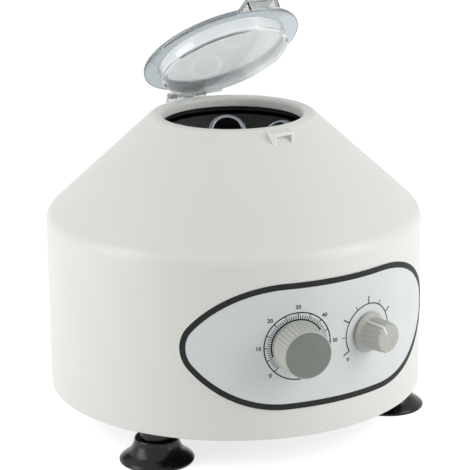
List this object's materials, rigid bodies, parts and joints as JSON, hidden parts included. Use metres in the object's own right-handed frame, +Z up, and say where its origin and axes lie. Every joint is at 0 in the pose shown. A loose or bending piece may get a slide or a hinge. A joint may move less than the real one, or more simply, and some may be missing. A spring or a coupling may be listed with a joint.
{
  "type": "butterfat centrifuge",
  "caption": "Bench centrifuge with a conical drum housing, hinged clear lid, angle rotor with tube sleeves, timer and speed knobs, and suction feet.",
  "frame": {"origin": "on the rotor's axis at bench level, in the middle of the object's outer box seen from above", "axes": "+Z up along the rotor's axis, -Y towards the control panel and the lid's latch, +Y towards the hinge and the cord gland"},
  "size_m": [0.27, 0.3116, 0.3142],
  "materials": {
    "housing_white": "moulded white plastic, satin gloss",
    "panel_face": "pale grey printed overlay with a black edge",
    "chamber_black": "black moulded plastic",
    "rubber_black": "black moulded rubber",
    "steel_zinc": "zinc plated steel",
    "base_paint": "grey painted sheet steel",
    "motor_alloy": "die cast aluminium",
    "carbon": "carbon",
    "armature_copper": "varnished copper winding",
    "timer_plastic": "moulded plastic",
    "board_green": "printed board",
    "standoff_nylon": "nylon",
    "clear_plastic": "clear moulded plastic",
    "gland_black": "black nylon",
    "sleeve_alloy": "anodised aluminium",
    "timer_knob_grey": "grey moulded plastic",
    "speed_knob_grey": "warm grey moulded plastic"
  },
  "bodies": {
    "housing": {"housing_shell": "housing_white", "control_panel": "panel_face", "chamber_bowl": "chamber_black", "bowl_seal": "rubber_black", "bowl_posts": "steel_zinc", "bowl_screws": "steel_zinc", "base_plate": "base_paint", "base_screws": "steel_zinc", "foot_front_left": "rubber_black", "foot_front_right": "rubber_black", "foot_rear": "rubber_black", "foot_bolts": "steel_zinc", "foot_nuts": "steel_zinc", "motor_can": "base_paint", "motor_top_cover": "motor_alloy", "motor_bottom_cover": "motor_alloy", "motor_brushes": "carbon", "bearing_upper": "steel_zinc", "bearing_lower": "steel_zinc", "motor_bracket": "base_paint", "motor_dampers": "rubber_black", "damper_screws": "steel_zinc", "timer_case": "timer_plastic", "timer_nut": "steel_zinc", "speed_pot": "timer_plastic", "speed_nut": "steel_zinc", "control_board": "board_green", "board_standoffs": "standoff_nylon", "hinge_bracket": "clear_plastic", "hinge_pin": "steel_zinc", "cord_gland": "gland_black", "gland_nut": "gland_black"},
    "rotor": {"spindle": "steel_zinc", "motor_armature": "armature_copper", "rotor_head": "chamber_black", "rotor_washer": "steel_zinc", "rotor_nut": "steel_zinc", "sleeve_1": "sleeve_alloy", "sleeve_2": "sleeve_alloy", "sleeve_3": "sleeve_alloy", "sleeve_4": "sleeve_alloy", "sleeve_5": "sleeve_alloy", "sleeve_6": "sleeve_alloy"},
    "lid": {"lid": "clear_plastic"},
    "timer": {"timer_shaft": "steel_zinc", "timer_knob": "timer_knob_grey"},
    "speed": {"speed_shaft": "steel_zinc", "speed_knob": "speed_knob_grey"}
  },
  "joints": [
    {"name": "lid_hinge", "type": "hinge", "parent": "housing", "child": "lid", "pos_m": [0, 0.0655, 0.2244], "axis": [-1, 0, 0], "range_deg": [-38.5, 61.5]},
    {"name": "rotor_spin", "type": "hinge", "parent": "housing", "child": "rotor", "pos_m": [0, 0, 0.15], "axis": [0, 0, 1], "continuous": true},
    {"name": "timer_turn", "type": "hinge", "parent": "housing", "child": "timer", "pos_m": [-0.03086, -0.13656, 0.0927], "axis": [0.2204, 0.9754, 0], "range_deg": [0, 270]},
    {"name": "speed_turn", "type": "hinge", "parent": "housing", "child": "speed", "pos_m": [0.0272, -0.13733, 0.0927], "axis": [-0.1943, 0.9809, 0], "range_deg": [-90, 150]}
  ]
}
